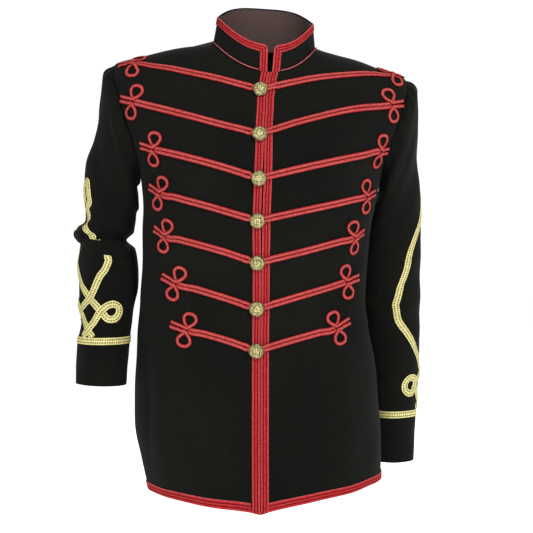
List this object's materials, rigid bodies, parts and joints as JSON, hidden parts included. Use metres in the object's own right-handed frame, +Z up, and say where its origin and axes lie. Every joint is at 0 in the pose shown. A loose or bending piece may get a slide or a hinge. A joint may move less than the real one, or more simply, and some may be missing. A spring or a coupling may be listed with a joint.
{
  "type": "military tunic",
  "caption": "Black hussar-style tunic, filled out as when worn, with a stand collar, red edge braid, doubled-cord frogs, domed buttons and gold lace knots on the sleeves.",
  "frame": {"origin": "middle of the neck opening, at the height where the shoulder seams meet the collar", "axes": "+Z up, +X towards the wearer's left, and the front faces -Y"},
  "size_m": [0.5613, 0.2938, 0.7819],
  "materials": {
    "black_wool": "matt fulled wool",
    "brown_lining": "plain woven cotton",
    "red_braid": "woven worsted braid and cord",
    "gold_lace": "woven metallic lace with a pebbled face",
    "gilt_brass": "stamped gilt brass with a raised pattern"
  },
  "bodies": {
    "root": {"front_right": "black_wool", "back_right": "black_wool", "sleeve_top_right": "black_wool", "sleeve_under_right": "black_wool", "front_left": "black_wool", "back_left": "black_wool", "sleeve_top_left": "black_wool", "sleeve_under_left": "black_wool", "front_underlap": "black_wool", "collar": "black_wool", "collar_lining": "brown_lining", "collar_braid_right": "red_braid", "collar_cord_right": "red_braid", "front_braid_right": "red_braid", "hem_braid_front_right": "red_braid", "hem_braid_back_right": "red_braid", "collar_braid_left": "red_braid", "collar_cord_left": "red_braid", "front_braid_left": "red_braid", "hem_braid_front_left": "red_braid", "hem_braid_back_left": "red_braid", "frog_right_1": "red_braid", "frog_right_2": "red_braid", "frog_right_3": "red_braid", "frog_right_4": "red_braid", "frog_right_5": "red_braid", "frog_right_6": "red_braid", "frog_right_7": "red_braid", "frog_left_1": "red_braid", "frog_left_2": "red_braid", "frog_left_3": "red_braid", "frog_left_4": "red_braid", "frog_left_5": "red_braid", "frog_left_6": "red_braid", "frog_left_7": "red_braid", "sleeve_knot_right": "gold_lace", "cuff_band_right": "gold_lace", "sleeve_knot_left": "gold_lace", "cuff_band_left": "gold_lace", "button_1": "gilt_brass", "button_2": "gilt_brass", "button_3": "gilt_brass", "button_4": "gilt_brass", "button_5": "gilt_brass", "button_6": "gilt_brass", "button_7": "gilt_brass"}
  },
  "joints": []
}
